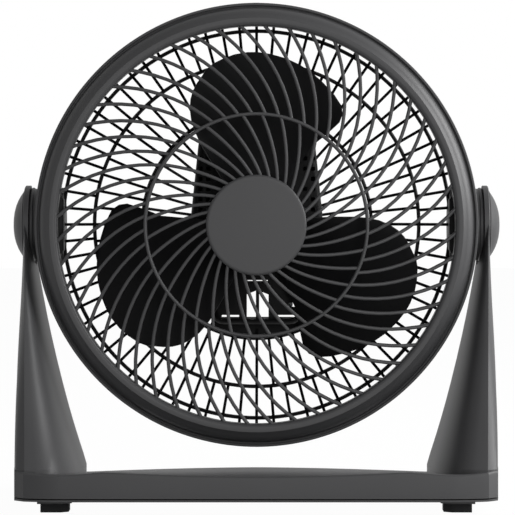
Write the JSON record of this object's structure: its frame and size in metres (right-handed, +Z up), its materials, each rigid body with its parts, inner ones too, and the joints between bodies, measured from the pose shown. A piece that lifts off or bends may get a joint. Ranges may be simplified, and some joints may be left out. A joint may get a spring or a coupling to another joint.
{
  "type": "air circulator fan",
  "caption": "Round air circulator fan head with swept grilles, tilting in a U-shaped stand on rubber feet, with a rear speed knob.",
  "frame": {"origin": "centre of the bounding box's underside, on the floor below the tilt axis", "axes": "+X to the viewer's right, along the tilt axis; +Y toward the back, the air leaves toward -Y; +Z up"},
  "size_m": [0.2768, 0.16, 0.2823],
  "materials": {
    "charcoal": "fine matt grain",
    "grille": "satin",
    "blade": "satin",
    "rubber": "matt",
    "steel": "zinc plated",
    "iron": "varnished laminations",
    "copper": "enamelled wire"
  },
  "bodies": {
    "stand": {"stand_frame": "charcoal", "base_plate": "charcoal", "foot_front_left": "rubber", "foot_front_right": "rubber", "foot_rear_left": "rubber", "foot_rear_right": "rubber", "base_screw_1": "steel", "base_screw_2": "steel", "base_screw_3": "steel", "base_screw_4": "steel", "pivot_cap_left": "charcoal", "pivot_cap_right": "charcoal", "pivot_screw_left": "steel", "pivot_screw_right": "steel", "pivot_washer_left": "steel", "pivot_washer_right": "steel"},
    "head": {"front_grille": "grille", "rear_housing": "charcoal", "motor_front_cover": "charcoal", "motor_rear_cover": "charcoal", "motor_bracket_front": "iron", "motor_bracket_rear": "iron", "stator_core": "iron", "stator_coil_front": "copper", "stator_coil_rear": "copper", "bearing_front": "steel", "bearing_rear": "steel", "switch_body": "rubber", "cord_inlet": "rubber", "cover_screw_1": "steel", "cover_screw_2": "steel", "cover_screw_3": "steel", "cover_screw_4": "steel"},
    "rotor": {"fan_blade": "blade", "motor_shaft": "steel", "rotor_core": "iron", "blade_nut": "blade"},
    "knob": {"speed_knob": "charcoal", "switch_stem": "steel"}
  },
  "joints": [
    {"name": "head_tilt", "type": "hinge", "parent": "stand", "child": "head", "pos_m": [0, 0, 0.1579], "axis": [-1, 0, 0], "range_deg": [-5, 90]},
    {"name": "fan_spin", "type": "hinge", "parent": "head", "child": "rotor", "pos_m": [0, 0, 0.1579], "axis": [0, 1, 0], "continuous": true},
    {"name": "speed_dial", "type": "hinge", "parent": "head", "child": "knob", "pos_m": [0, 0.06, 0.1579], "axis": [0, -1, 0], "range_deg": [0, 135]}
  ]
}
